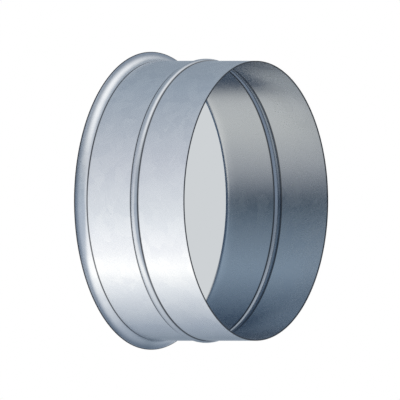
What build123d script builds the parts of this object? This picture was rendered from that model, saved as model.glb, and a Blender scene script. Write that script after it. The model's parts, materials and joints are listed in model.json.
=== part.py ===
from build123d import *
from math import atan2, degrees, radians, sin
import os

# A wall sleeve: one piece of thin steel sheet, formed into a short round sleeve that is open
# at both ends. From the room side it has a collar rolled outwards in a quarter round, a plain
# wall, one rolled bead that stops the duct, and a plain spigot that goes into the duct.
# The axis of the sleeve is +Y. The origin is on the axis, in the plane of the collar's room
# face, and the spigot points along +Y into the wall. All sizes are in millimetres.

# Driving sizes
spigot_diameter = 199.0     # outside of the plain wall, a slide fit in a 200 mm duct
sheet = 0.7                 # thickness of the steel
insertion_length = 38.5     # cut end of the spigot to the bead
bead_width = 6.0            # bead along the axis, where it meets the wall
bead_height = 1.5           # bead above the wall outside
bead_root_radius = 0.4      # outside face, where the bead leaves the wall
back_length = 36.0          # plain wall from the bead to the collar
flare_radius = 6.4          # outside face of the collar's quarter round

# Sizes that follow
wall_radius = spigot_diameter / 2
rim_radius = wall_radius + flare_radius
bead_slope = 2 * degrees(atan2(bead_height, bead_width / 2))
bead_crown_radius = bead_width / 2 / sin(radians(bead_slope)) - bead_root_radius


def sheet_face(depth):
    """Section line of the sheet, at a depth below its outside face, from the rim to the cut end."""
    rim = (rim_radius, sheet - depth)
    flare = JernArc(rim, (-1, 0), flare_radius + depth, -90)
    back_wall = Line(flare @ 1, flare @ 1 + (0, back_length))
    rise = JernArc(back_wall @ 1, back_wall % 1, bead_root_radius + depth, -bead_slope)
    crown = JernArc(rise @ 1, rise % 1, bead_crown_radius - depth, 2 * bead_slope)
    fall = JernArc(crown @ 1, crown % 1, bead_root_radius + depth, -bead_slope)
    spigot = Line(fall @ 1, fall @ 1 + (0, insertion_length))
    return [flare, back_wall, rise, crown, fall, spigot]


def sheet_section():
    """Closed section of the sheet: radius along X, the sleeve's axis along Y."""
    outside = sheet_face(0)
    inside = sheet_face(sheet)
    rim_edge = Line(outside[0] @ 0, inside[0] @ 0)
    cut_end = Line(outside[-1] @ 1, inside[-1] @ 1)
    return make_face([*outside, cut_end, *inside, rim_edge])


def wall_sleeve():
    """The whole sleeve, turned from its section about the axis."""
    return revolve(sheet_section(), Axis.Y)


os.makedirs("parts", exist_ok=True)
export_step(wall_sleeve(), "parts/wall_sleeve.step")
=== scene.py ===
import json
from math import atan2, ceil, cos, pi, radians, sin
import bpy
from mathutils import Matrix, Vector

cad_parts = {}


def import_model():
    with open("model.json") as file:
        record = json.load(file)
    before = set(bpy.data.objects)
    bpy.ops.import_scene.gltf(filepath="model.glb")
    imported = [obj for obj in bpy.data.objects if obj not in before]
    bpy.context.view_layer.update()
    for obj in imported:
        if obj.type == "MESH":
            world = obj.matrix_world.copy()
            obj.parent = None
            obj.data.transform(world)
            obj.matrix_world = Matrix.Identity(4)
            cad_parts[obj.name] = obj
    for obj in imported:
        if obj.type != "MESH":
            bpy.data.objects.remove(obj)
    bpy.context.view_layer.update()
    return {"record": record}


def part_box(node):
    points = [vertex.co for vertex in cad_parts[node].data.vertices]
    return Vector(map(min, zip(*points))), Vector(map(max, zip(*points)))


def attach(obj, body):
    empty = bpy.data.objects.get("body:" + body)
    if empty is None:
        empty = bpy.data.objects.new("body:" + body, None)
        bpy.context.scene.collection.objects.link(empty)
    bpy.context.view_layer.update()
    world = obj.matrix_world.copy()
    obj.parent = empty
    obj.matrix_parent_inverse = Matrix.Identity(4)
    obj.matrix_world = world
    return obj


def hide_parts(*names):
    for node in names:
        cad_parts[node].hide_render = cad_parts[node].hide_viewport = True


# A wall sleeve of thin galvanised sheet, seen from the side of its spigot. Its axis is +Y and
# the origin is on the axis, in the plane of the collar's room face. Lengths are in metres.

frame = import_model()
mm = 0.001

# Sizes of the sleeve, read from the frame
mounts = {mount["name"]: mount for mount in frame["record"]["mounts"]}
wall_radius = mounts["spigot"]["dims"]["r_mm"] * mm
bore_radius = mounts["bore"]["dims"]["r_mm"] * mm
spigot_length = mounts["spigot"]["dims"]["length_mm"] * mm
rim_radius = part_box("wall_sleeve")[1].z
sleeve_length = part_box("wall_sleeve")[1].y
sheet = wall_radius - bore_radius
flare_radius = rim_radius - wall_radius

# Sizes of the bead, as on the solid, and of the cut edges
bead_width = 6 * mm
bead_height = 1.5 * mm
bead_root_radius = 0.4 * mm
bead_slope = 2 * atan2(bead_height, bead_width / 2)
bead_crown_radius = bead_width / 2 / sin(bead_slope) - bead_root_radius
bead_place = sleeve_length - spigot_length - bead_width / 2
edge_radius = 0.2 * mm


# The sheet's section, as a chain of moves. A move is a run of some length, or an arc of some
# radius and turn.


def face_moves(depth):
    """Moves along one face of the sheet, at a depth below its outside, from rim to cut end."""
    back_length = bead_place - bead_width / 2 - sheet - flare_radius + edge_radius
    root = bead_root_radius + depth
    return [
        (flare_radius + depth - edge_radius, -pi / 2),
        (back_length, 0),
        (root, -bead_slope),
        (bead_crown_radius - depth, 2 * bead_slope),
        (root, -bead_slope),
        (spigot_length - edge_radius, 0),
    ]


def section_moves():
    """Moves round the whole section: outside face, cut end, inside face and rim."""
    edge = [(edge_radius, pi / 2), (sheet - 2 * edge_radius, 0), (edge_radius, pi / 2)]
    back_along_inside = [(size, -turn) for size, turn in reversed(face_moves(sheet))]
    return [*face_moves(0), *edge, *back_along_inside, *edge]


def section_points(longest_run=4 * mm, widest_turn=radians(5), fewest_steps=4):
    """The section's points, each with its heading there: (radius, place on the axis, heading)."""
    radius, place, heading = rim_radius - edge_radius, sheet, pi
    points = []
    for size, turn in section_moves():
        if turn:
            steps = max(fewest_steps, ceil(abs(turn) / widest_turn))
        else:
            steps = ceil(size / longest_run)
        half_turn = turn / steps / 2
        stride = 2 * size * abs(sin(half_turn)) if turn else size / steps
        for _ in range(steps):
            points.append((radius, place, heading))
            radius += stride * cos(heading + half_turn)
            place += stride * sin(heading + half_turn)
            heading += 2 * half_turn
    return points


def turned_sleeve(segments=360):
    """The sleeve's mesh, turned from its section about the axis, with its true normals."""
    section = section_points()
    vertices, normals = [], []
    for i in range(segments):
        across, up = cos(2 * pi * i / segments), sin(2 * pi * i / segments)
        for radius, place, heading in section:
            vertices.append((radius * across, place, radius * up))
            normals.append((sin(heading) * across, -cos(heading), sin(heading) * up))
    count = len(section)
    faces = []
    for i in range(segments):
        here, there = i * count, (i + 1) % segments * count
        for j in range(count):
            k = (j + 1) % count
            faces.append((here + j, here + k, there + k, there + j))
    mesh = bpy.data.meshes.new("sleeve_sheet")
    mesh.from_pydata(vertices, [], faces)
    mesh.shade_smooth()
    mesh.normals_split_custom_set_from_vertices(normals)
    sleeve = bpy.data.objects.new("sleeve_sheet", mesh)
    bpy.context.scene.collection.objects.link(sleeve)
    return sleeve


# Materials


class Graph:
    """Makes nodes in one tree. An input's value is a number, a colour or another node's output."""

    def __init__(self, tree):
        self.tree = tree
        tree.nodes.clear()

    def node(self, kind, inputs, **settings):
        """A new node, with its inputs set or linked and its settings made."""
        made = self.tree.nodes.new(kind)
        for name, value in settings.items():
            setattr(made, name, value)
        for name, value in inputs.items():
            if isinstance(value, bpy.types.NodeSocket):
                self.tree.links.new(value, made.inputs[name])
            else:
                made.inputs[name].default_value = value
        return made

    def math(self, operation, *values):
        """One number worked out from up to three."""
        return self.node("ShaderNodeMath", dict(enumerate(values)), operation=operation).outputs[0]

    def vector(self, operation, *values):
        """A node that works out a vector, its output 0, or a number, its output 1."""
        return self.node("ShaderNodeVectorMath", dict(enumerate(values)), operation=operation)

    def largest(self, values):
        """The largest of several numbers."""
        found = values[0]
        for value in values[1:]:
            found = self.math("MAXIMUM", found, value)
        return found

    def apart(self, one, other):
        """How far apart two numbers are."""
        return self.math("ABSOLUTE", self.math("SUBTRACT", one, other))

    def split(self, where):
        """A vector's three numbers, by the names X, Y and Z."""
        return self.node("ShaderNodeSeparateXYZ", {0: where}).outputs

    def length(self, where, axes):
        """The distance from the origin, counted along some axes alone."""
        kept = self.vector("MULTIPLY", where, axes).outputs[0]
        return self.vector("LENGTH", kept).outputs[1]

    def noise(self, where, scale):
        """Soft noise from 0 to 1 at a scale in features a metre."""
        return self.node("ShaderNodeTexNoise", {"Vector": where, "Scale": scale}).outputs["Fac"]

    def ramp(self, value, low, high, out_low=0.0, out_high=1.0):
        """A smooth step of a value, from one number to another."""
        inputs = {0: value, 1: low, 2: high, 3: out_low, 4: out_high}
        return self.node("ShaderNodeMapRange", inputs, interpolation_type="SMOOTHSTEP").outputs[0]

    def mix(self, factor, low, high):
        """A colour between two."""
        inputs = {"Factor": factor, 6: low, 7: high}
        return self.node("ShaderNodeMix", inputs, data_type="RGBA").outputs[2]

    def tones(self, value, stops):
        """A colour from a ramp of (position, colour) stops."""
        made = self.node("ShaderNodeValToRGB", {0: value})
        elements = made.color_ramp.elements
        while len(elements) < len(stops):
            elements.new(1.0)
        for element, (position, colour) in zip(elements, stops):
            element.position = position
            element.color = (*colour, 1)
        return made.outputs[0]

    def unlit(self, colour):
        """A shader that shows a colour as it is, whatever the light."""
        return self.node("ShaderNodeEmission", {"Color": colour}).outputs[0]

    def mix_shader(self, factor, low, high):
        """A shader between two."""
        return self.node("ShaderNodeMixShader", {0: factor, 1: low, 2: high}).outputs[0]

    def output(self, shader, kind="ShaderNodeOutputMaterial"):
        """Puts a shader on the tree's output."""
        self.node(kind, {"Surface": shader})


def new_material(name):
    """A new material, and the graph that makes its nodes."""
    material = bpy.data.materials.new(name)
    material.use_nodes = True
    return material, Graph(material.node_tree)


def object_place(graph):
    """The place on the object, in the object's own frame."""
    return graph.node("ShaderNodeTexCoord", {}).outputs["Object"]


def zinc_crystals(graph, place):
    """Each zinc crystal's own tone, and the feathers on it, which run its own way."""
    bend = graph.node("ShaderNodeTexNoise", {"Vector": place, "Scale": 300}).outputs["Color"]
    bend = graph.vector("MULTIPLY", bend, (5 * mm, 5 * mm, 5 * mm)).outputs[0]
    bent_place = graph.vector("ADD", place, bend).outputs[0]
    cells = {"Vector": bent_place, "Scale": 130}
    spangle = graph.node("ShaderNodeTexVoronoi", cells).outputs["Color"]
    crystal = graph.node("ShaderNodeSeparateColor", {0: spangle}).outputs[0]
    lean = graph.vector("SUBTRACT", spangle, (0.5, 0.5, 0.5)).outputs[0]
    run = graph.vector("DOT_PRODUCT", bent_place, lean).outputs[1]
    strands = {"W": run, "Scale": 2500}
    feathers = graph.node("ShaderNodeTexNoise", strands, noise_dimensions="1D").outputs["Fac"]
    return crystal, graph.ramp(feathers, 0.35, 0.65)


def dull_and_shaded_places(graph, along, from_axis, outside, clouds):
    """How matt the zinc is, and how dark: a painted shade line in the creases that tools pressed
    round the sheet, where the collar and the bead start, and matt, dark sheared edges, which are
    partly their own grey and partly painted shade."""
    depth = graph.ramp(clouds, 0.3, 0.7, 0.85, 1.0)

    def crease(where):
        """The painted shade line and matt zinc along a crease at a place on the axis, uneven in
        depth.
        """
        return graph.ramp(graph.apart(along, where), 0.2 * mm, 0.9 * mm, depth, 0.0)

    return graph.largest([
        graph.math("MULTIPLY", outside, crease(sheet + flare_radius)),
        crease(bead_place - bead_width / 2),
        crease(bead_place + bead_width / 2),
        graph.ramp(along, sleeve_length - 1.0 * mm, sleeve_length - 0.4 * mm),
        graph.ramp(from_axis, rim_radius - 0.6 * mm, rim_radius - 0.3 * mm),
    ])


def galvanised_steel():
    """Zinc-coated sheet: feathered spangle, fine forming marks round the axis, and matt creases,
    rim and cut end. Painted shade darkens the creases, rim, cut end, inside, bead, groove and collar
    rim."""
    material, graph = new_material("galvanised_steel")
    place = object_place(graph)
    along = graph.split(place)["Y"]
    from_axis = graph.length(place, (1, 0, 1))
    away = graph.vector("MULTIPLY", place, (1, 0, 1)).outputs[0]
    facing = graph.node("ShaderNodeNewGeometry", {}).outputs["True Normal"]
    outwards = graph.vector("DOT_PRODUCT", facing, away).outputs[1]
    outside = graph.math("GREATER_THAN", outwards, 0.0)
    inside = graph.math("SUBTRACT", 1.0, outside)

    clouds = graph.noise(place, 25)
    crystal, feathers = zinc_crystals(graph, place)
    marks = graph.noise(graph.vector("MULTIPLY", place, (0.03, 1, 0.03)).outputs[0], 1600)
    grain = graph.noise(place, 4000)

    dull_and_shade = dull_and_shaded_places(graph, along, from_axis, outside, clouds)
    # Painted shade: the wall's inside is darker than its outside
    inside_shade = graph.math("MULTIPLY", inside, graph.ramp(along, sheet, sheet + 2 * flare_radius))
    # Painted shade: the bead is darker than the flat wall, and its groove inside is darker still
    from_bead = graph.apart(along, bead_place)
    bead_shade = graph.ramp(from_bead, 0.4 * bead_width, 0.55 * bead_width, 1.0, 0.0)
    groove_shade = graph.math("MULTIPLY", bead_shade, inside)
    # Painted shade: the collar darkens towards its rim
    rim_shade_start = wall_radius + 0.2 * flare_radius
    collar_rim_shade = graph.ramp(from_axis, rim_shade_start, rim_radius - 0.15 * flare_radius)

    tone = graph.math("MULTIPLY_ADD", crystal, 0.45, graph.math("MULTIPLY", clouds, 0.25))
    tone = graph.math("MULTIPLY_ADD", feathers, 0.3, tone)
    colour = graph.mix(tone, (0.79, 0.82, 0.865, 1), (0.94, 0.96, 0.98, 1))
    # Painted shade darkens the inside, the bead, its groove, the collar rim, the creases and the
    # edges
    for kind, share, shade in (
        (inside_shade, 0.6, (0.50, 0.54, 0.585, 1)),
        (bead_shade, 0.3, (0.42, 0.47, 0.53, 1)),
        (collar_rim_shade, 0.8, (0.36, 0.42, 0.50, 1)),
        (groove_shade, 0.6, (0.20, 0.26, 0.34, 1)),
        (dull_and_shade, 0.97, (0.05, 0.055, 0.065, 1)),
    ):
        colour = graph.mix(graph.math("MULTIPLY", kind, share), colour, shade)

    roughness = graph.ramp(clouds, 0.3, 0.7, 0.19, 0.23)
    for kind, share in ((crystal, 0.04), (feathers, 0.03), (marks, 0.04), (dull_and_shade, 0.12)):
        roughness = graph.math("MULTIPLY_ADD", kind, share, roughness)

    relief = graph.math("MULTIPLY_ADD", marks, 0.6, graph.math("MULTIPLY", grain, 0.4))
    bump = graph.node("ShaderNodeBump", {"Strength": 0.2, "Distance": 0.02 * mm, "Height": relief})
    metal = {
        "Base Color": colour,
        "Metallic": 1.0,
        "Roughness": roughness,
        "Normal": bump.outputs[0],
    }
    graph.output(graph.node("ShaderNodeBsdfPrincipled", metal).outputs[0])
    return material


# The studio: a floor that the metal sees as a painted reflection, walls, a duct of painted reflection
# behind the far mouth, a lamp and the world


def stage_mesh(name, vertices, faces):
    """A mesh that belongs to the studio and not to the sleeve."""
    mesh = bpy.data.meshes.new(name)
    mesh.from_pydata(vertices, [], faces)
    made = bpy.data.objects.new(name, mesh)
    bpy.context.scene.collection.objects.link(made)
    return made


def seen_in_gloss_only(card):
    """Keeps a card, which the metal reflects, from the camera and from the floor's light."""
    card.visible_camera = False
    card.visible_diffuse = False
    card.visible_transmission = False
    card.visible_shadow = False


def painted_floor_reflection(graph, place, tones, reach, front_tone):
    """A painted reflection: what the metal shows of the floor, a smooth run of tones from a painted
    shadow under the axis through a painted pool of light out to a reach on either side, and one dim
    tone of painted shade in front of the spigot."""
    parts = graph.split(place)
    aside = graph.math("ABSOLUTE", parts["X"])
    tone = graph.tones(graph.math("MULTIPLY", aside, 1 / reach), tones)
    in_front = graph.math("MULTIPLY_ADD", aside, 0.3, parts["Y"])
    tone = graph.mix(graph.ramp(in_front, sleeve_length, 160 * mm), tone, (*front_tone, 1))
    return graph.unlit(tone)


def floor(level, tones, reach, front_tone, size=6.0):
    """A pale floor, which for the camera runs out to white away from the sleeve, and which the metal
    sees as a painted reflection.
    """
    corners = [(-size, -size, level), (size, -size, level), (size, size, level), (-size, size, level)]
    plane = stage_mesh("floor", corners, [(0, 1, 2, 3)])
    material, graph = new_material("pale_floor")
    place = object_place(graph)
    rays = graph.node("ShaderNodeLightPath", {}).outputs
    grey = graph.mix(graph.noise(place, 9), (0.86, 0.87, 0.88, 1), (0.89, 0.89, 0.89, 1))
    paint = graph.node("ShaderNodeBsdfDiffuse", {"Color": grey}).outputs[0]
    white_share = graph.ramp(graph.length(place, (1, 1, 0)), 100 * mm, 360 * mm, 0.4, 1.0)
    run_out = graph.math("MULTIPLY", rays["Is Camera Ray"], white_share)
    shown = graph.mix_shader(run_out, paint, graph.unlit((1, 1, 1, 1)))
    painted_gloss_floor = painted_floor_reflection(graph, place, tones, reach, front_tone)
    graph.output(graph.mix_shader(rays["Is Glossy Ray"], shown, painted_gloss_floor))
    plane.data.materials.append(material)


def studio_walls(bright_way, back_tones, front_tones, radius=3.0):
    """A round tent of soft grey walls for the metal to reflect. Behind the sleeve's collar it is
    brightest in one direction, and in front of the spigot it is dim at eye level, bright above."""
    bpy.ops.mesh.primitive_uv_sphere_add(radius=radius, segments=48, ring_count=24)
    tent = bpy.context.object
    tent.name = "studio_walls"
    seen_in_gloss_only(tent)
    material, graph = new_material("studio_walls")
    outward = graph.vector("NORMALIZE", object_place(graph)).outputs[0]
    parts = graph.split(outward)
    towards = graph.vector("DOT_PRODUCT", outward, bright_way.normalized()).outputs[1]
    behind = graph.tones(graph.math("MULTIPLY_ADD", towards, 0.5, 0.5), back_tones)
    in_front = graph.tones(parts["Z"], front_tones)
    front_share = graph.ramp(parts["Y"], -0.4, 0.4)
    graph.output(graph.unlit(graph.mix(front_share, behind, in_front)))
    tent.data.materials.append(material)


def painted_reflection_duct(tones, length=0.16, count=96):
    """A dim round duct that carries on from the sleeve's far mouth, a painted reflection that puts
    painted shade and light into the sleeve's inside. Its tone changes round its wall: a quarter is
    its lowest line, three quarters its highest."""
    radius = bore_radius + 0.6 * flare_radius
    mouth, end = -0.5 * mm, -length
    turns = [2 * pi * i / count for i in range(count)]
    vertices = [(radius * cos(turn), y, radius * sin(turn)) for y in (mouth, end) for turn in turns]
    walls = [(i, (i + 1) % count, (i + 1) % count + count, i + count) for i in range(count)]
    duct = stage_mesh("painted_reflection_duct", vertices, [*walls, tuple(range(count, 2 * count))])
    seen_in_gloss_only(duct)
    material, graph = new_material("painted_reflection_duct")
    parts = graph.split(object_place(graph))
    angle = graph.math("ARCTAN2", parts["Z"], parts["X"])
    share = graph.math("MULTIPLY_ADD", angle, 0.5 / pi, 0.5)
    graph.output(graph.unlit(graph.tones(share, tones)))
    duct.data.materials.append(material)


def soft_lamp(name, place, target, size, power):
    """A square lamp that lights the floor, and that the metal doesn't show."""
    data = bpy.data.lights.new(name, "AREA")
    data.size = size
    data.energy = power
    lamp = bpy.data.objects.new(name, data)
    lamp.location = place
    lamp.rotation_euler = (Vector(target) - Vector(place)).to_track_quat("-Z", "Y").to_euler()
    lamp.visible_glossy = False
    bpy.context.scene.collection.objects.link(lamp)


def world(light):
    """A white background, and a plain even light on the floor."""
    made = bpy.data.worlds.new("studio")
    bpy.context.scene.world = made
    made.use_nodes = True
    graph = Graph(made.node_tree)
    rays = graph.node("ShaderNodeLightPath", {}).outputs
    shown_to = ("Is Camera Ray", "Is Glossy Ray", "Is Transmission Ray")
    shows = graph.largest([rays[kind] for kind in shown_to])
    strength = graph.ramp(shows, 0.0, 1.0, light, 1.0)
    background = graph.node("ShaderNodeBackground", {"Color": (1, 1, 1, 1), "Strength": strength})
    graph.output(background.outputs[0], "ShaderNodeOutputWorld")


# The photograph's view. The sleeve is drawn without perspective, its axis turned 59 degrees
# away from the line of sight, at the height of the eye.
picture_width_px = 400
spigot_width_px = 280
origin_px = (150.6, 200.8)
azimuth = radians(121)
metres_per_px = 2 * wall_radius / spigot_width_px
back = Vector((sin(azimuth), -cos(azimuth), 0))
right = Vector((cos(azimuth), sin(azimuth), 0))


def in_picture(x_px, y_px):
    """The point at a place in the picture, at the depth of the sleeve's origin."""
    upwards = Vector((0, 0, (origin_px[1] - y_px) * metres_per_px))
    return right * (x_px - origin_px[0]) * metres_per_px + upwards


def camera():
    """The camera, one metre back from the sleeve's origin, with the photograph's frame."""
    data = bpy.data.cameras.new("camera")
    data.type = "ORTHO"
    data.ortho_scale = picture_width_px * metres_per_px
    made = bpy.data.objects.new("camera", data)
    made.location = in_picture(picture_width_px / 2, picture_width_px / 2) + back
    made.rotation_euler = (-back).to_track_quat("-Z", "Y").to_euler()
    bpy.context.scene.collection.objects.link(made)
    bpy.context.scene.camera = made


def grey_backdrop(distance=1.5):
    """A pale grey card far behind the sleeve, which shows through the opening alone."""
    left_px, top_px, right_px, bottom_px = 180, 80, 231, 321
    places_px = [(left_px, bottom_px), (right_px, bottom_px), (right_px, top_px), (left_px, top_px)]
    corners = [in_picture(*place_px) - back * distance for place_px in places_px]
    card = stage_mesh("grey_backdrop", corners, [(0, 1, 2, 3)])
    card.visible_diffuse = False
    card.visible_glossy = False
    card.visible_shadow = False
    material, graph = new_material("grey_backdrop")
    graph.output(graph.unlit((0.617, 0.644, 0.665, 1)))
    card.data.materials.append(material)


sleeve = turned_sleeve()
sleeve.data.materials.append(galvanised_steel())
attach(sleeve, "root")
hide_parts("wall_sleeve")

# Each run of tones is a list of places along it, from 0 to 1, and their colours
# The floor's tones for the metal are a painted reflection: a painted shadow under the axis and a
# painted pool of light beside it
floor(
    level=-rim_radius,
    tones=[
        (0.0, (0.24, 0.29, 0.35)),
        (0.05, (0.39, 0.44, 0.51)),
        (0.13, (0.89, 0.91, 0.93)),
        (0.19, (1.28, 1.25, 1.20)),
        (0.26, (1.07, 1.06, 1.06)),
        (0.45, (0.94, 0.95, 0.965)),
        (1.0, (0.82, 0.84, 0.86)),
    ],
    reach=0.65,
    front_tone=(0.5, 0.55, 0.62),
)
studio_walls(
    bright_way=Vector((0.866, 0, -0.5)),
    back_tones=[
        (0.0, (0.25, 0.30, 0.355)),
        (0.2, (0.33, 0.385, 0.45)),
        (0.5, (0.465, 0.505, 0.56)),
        (0.72, (0.61, 0.63, 0.68)),
        (0.86, (0.77, 0.79, 0.82)),
        (1.0, (0.95, 0.95, 0.96)),
    ],
    front_tones=[
        (0.0, (0.44, 0.50, 0.57)),
        (0.35, (0.46, 0.49, 0.53)),
        (0.8, (1.0, 1.0, 1.0)),
    ],
)
# The duct's tones are painted reflection: painted shade and painted light for the sleeve's inside
painted_reflection_duct(
    tones=[
        (0.0, (0.015, 0.04, 0.08)),
        (0.06, (0.08, 0.105, 0.145)),
        (0.11, (0.70, 0.70, 0.68)),
        (0.25, (0.70, 0.70, 0.67)),
        (0.38, (0.48, 0.49, 0.505)),
        (0.46, (0.19, 0.215, 0.255)),
        (0.5, (0.04, 0.07, 0.10)),
        (0.57, (0.16, 0.21, 0.265)),
        (0.74, (0.31, 0.395, 0.485)),
        (0.9, (0.11, 0.16, 0.225)),
        (1.0, (0.015, 0.04, 0.08)),
    ],
)
soft_lamp("overhead", place=(0.17, -0.05, 0.47), target=(0.17, -0.05, 0), size=0.3, power=2.1)
world(light=0.62)
camera()
grey_backdrop()

bpy.context.scene.view_settings.view_transform = "Standard"
